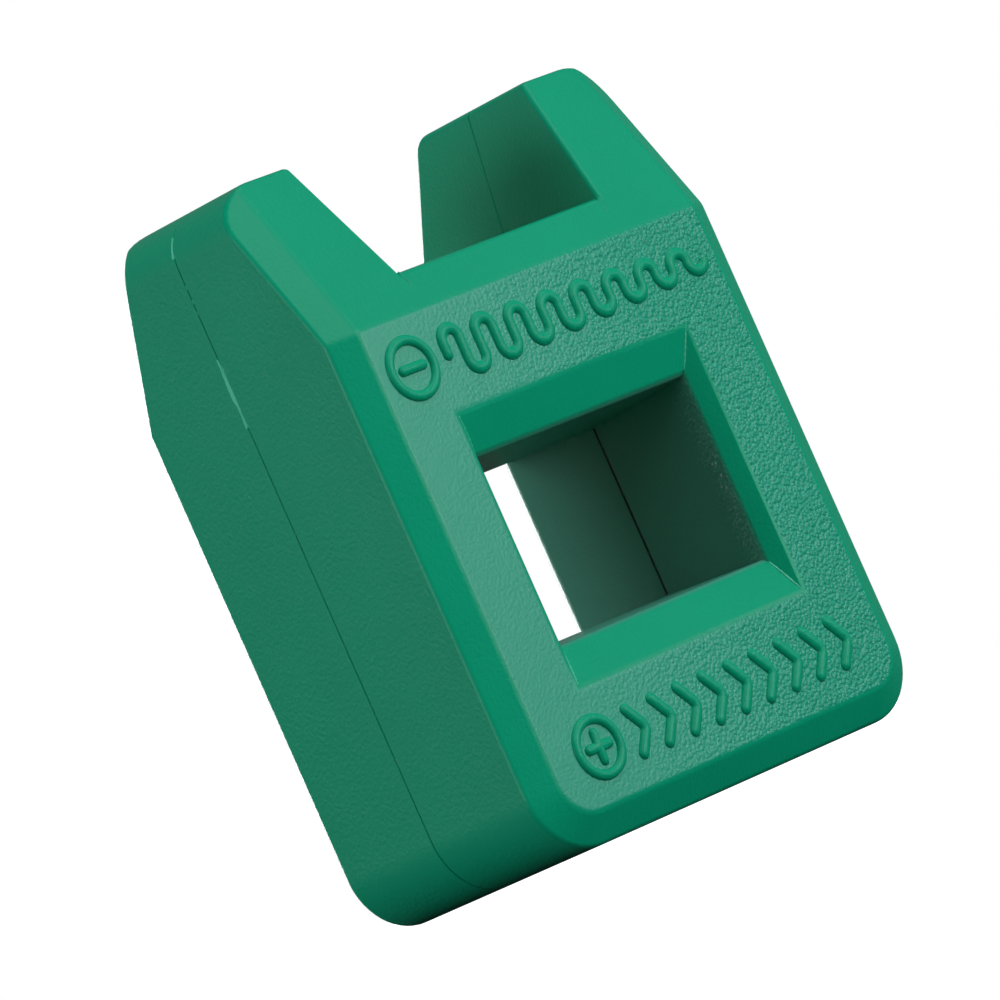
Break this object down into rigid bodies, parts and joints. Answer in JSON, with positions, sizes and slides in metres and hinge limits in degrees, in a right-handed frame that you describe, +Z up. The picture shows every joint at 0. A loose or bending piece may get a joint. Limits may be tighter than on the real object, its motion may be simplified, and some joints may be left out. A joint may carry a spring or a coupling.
{
  "type": "block magnetiser and demagnetiser",
  "caption": "Green moulded block with a square through window that magnetises a blade and an open notch between two horns that demagnetises it.",
  "frame": {"origin": "middle of the underside", "axes": "+Z up from the base towards the horns, X across the width, the marked front face looks along -Y"},
  "size_m": [0.0396, 0.0233, 0.0522],
  "materials": {
    "green_plastic": "satin",
    "dark_ferrite": "matte",
    "zinc_steel": "satin",
    "white_foam": "matte"
  },
  "bodies": {
    "root": {"front_shell": "green_plastic", "rear_shell": "green_plastic", "window_magnet_left": "dark_ferrite", "window_magnet_right": "dark_ferrite", "notch_magnet_left": "dark_ferrite", "notch_magnet_right": "dark_ferrite", "steel_yoke": "zinc_steel", "notch_plate_left": "zinc_steel", "notch_plate_right": "zinc_steel", "window_pad_left": "white_foam", "window_pad_right": "white_foam", "notch_pad_left": "white_foam", "notch_pad_right": "white_foam"}
  },
  "joints": []
}
